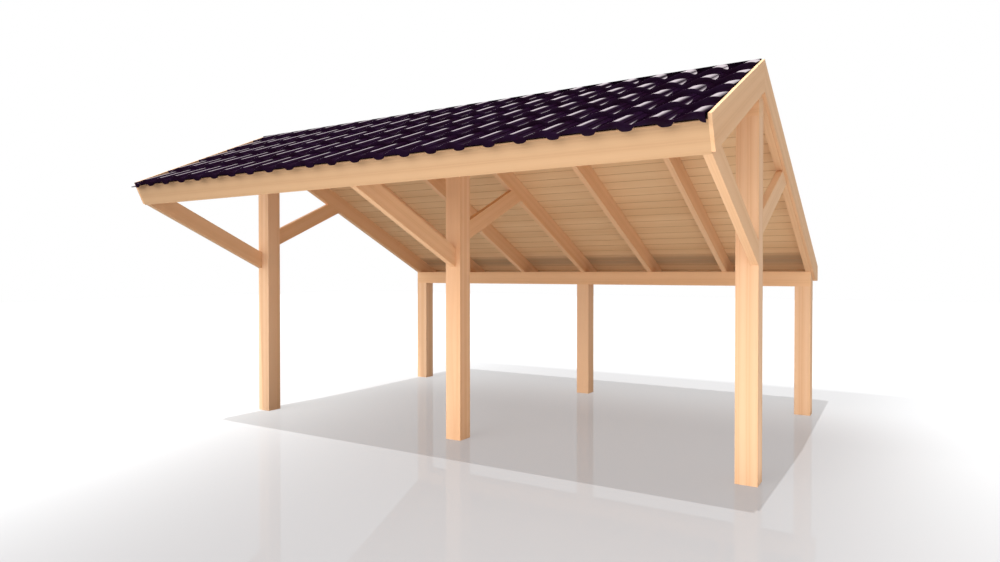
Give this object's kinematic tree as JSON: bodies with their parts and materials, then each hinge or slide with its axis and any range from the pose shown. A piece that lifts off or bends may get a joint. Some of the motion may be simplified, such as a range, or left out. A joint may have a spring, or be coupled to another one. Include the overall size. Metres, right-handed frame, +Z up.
{
  "type": "pole barn",
  "caption": "Open timber pole barn with a lopsided tiled saddle roof on square braced posts: a short slope in front of the tall posts and a long slope down to a low wall plate.",
  "frame": {"origin": "on the ground under the middle of the whole outline", "axes": "+Z up, +X to the right along the ridge seen from the front, +Y from the tall front posts towards the low rear posts"},
  "size_m": [6.05, 5.4055, 3.4669],
  "materials": {
    "post_timber": "planed, unpainted",
    "frame_timber": "planed, unpainted",
    "trim_boards": "planed, unpainted",
    "roof_boarding": "planed, unpainted",
    "glazed_tiles": "gloss glaze"
  },
  "bodies": {
    "root": {"front_post_left": "post_timber", "front_post_middle": "post_timber", "front_post_right": "post_timber", "rear_post_left": "post_timber", "rear_post_middle": "post_timber", "rear_post_right": "post_timber", "rear_plate": "frame_timber", "ridge_purlin": "frame_timber", "front_rafter_1": "frame_timber", "front_rafter_2": "frame_timber", "front_rafter_3": "frame_timber", "front_rafter_4": "frame_timber", "front_rafter_5": "frame_timber", "front_rafter_6": "frame_timber", "front_rafter_7": "frame_timber", "rear_rafter_1": "frame_timber", "rear_rafter_2": "frame_timber", "rear_rafter_3": "frame_timber", "rear_rafter_4": "frame_timber", "rear_rafter_5": "frame_timber", "rear_rafter_6": "frame_timber", "rear_rafter_7": "frame_timber", "front_brace_left": "frame_timber", "front_brace_middle": "frame_timber", "front_brace_right": "frame_timber", "rear_brace_left": "frame_timber", "rear_brace_middle": "frame_timber", "rear_brace_right": "frame_timber", "front_fascia": "trim_boards", "rear_fascia": "trim_boards", "front_verge_left": "trim_boards", "front_verge_right": "trim_boards", "rear_verge_left": "trim_boards", "rear_verge_right": "trim_boards", "front_boarding": "roof_boarding", "rear_boarding": "roof_boarding", "ridge_strip": "glazed_tiles", "front_tiles": "glazed_tiles", "rear_tiles": "glazed_tiles"}
  },
  "joints": []
}
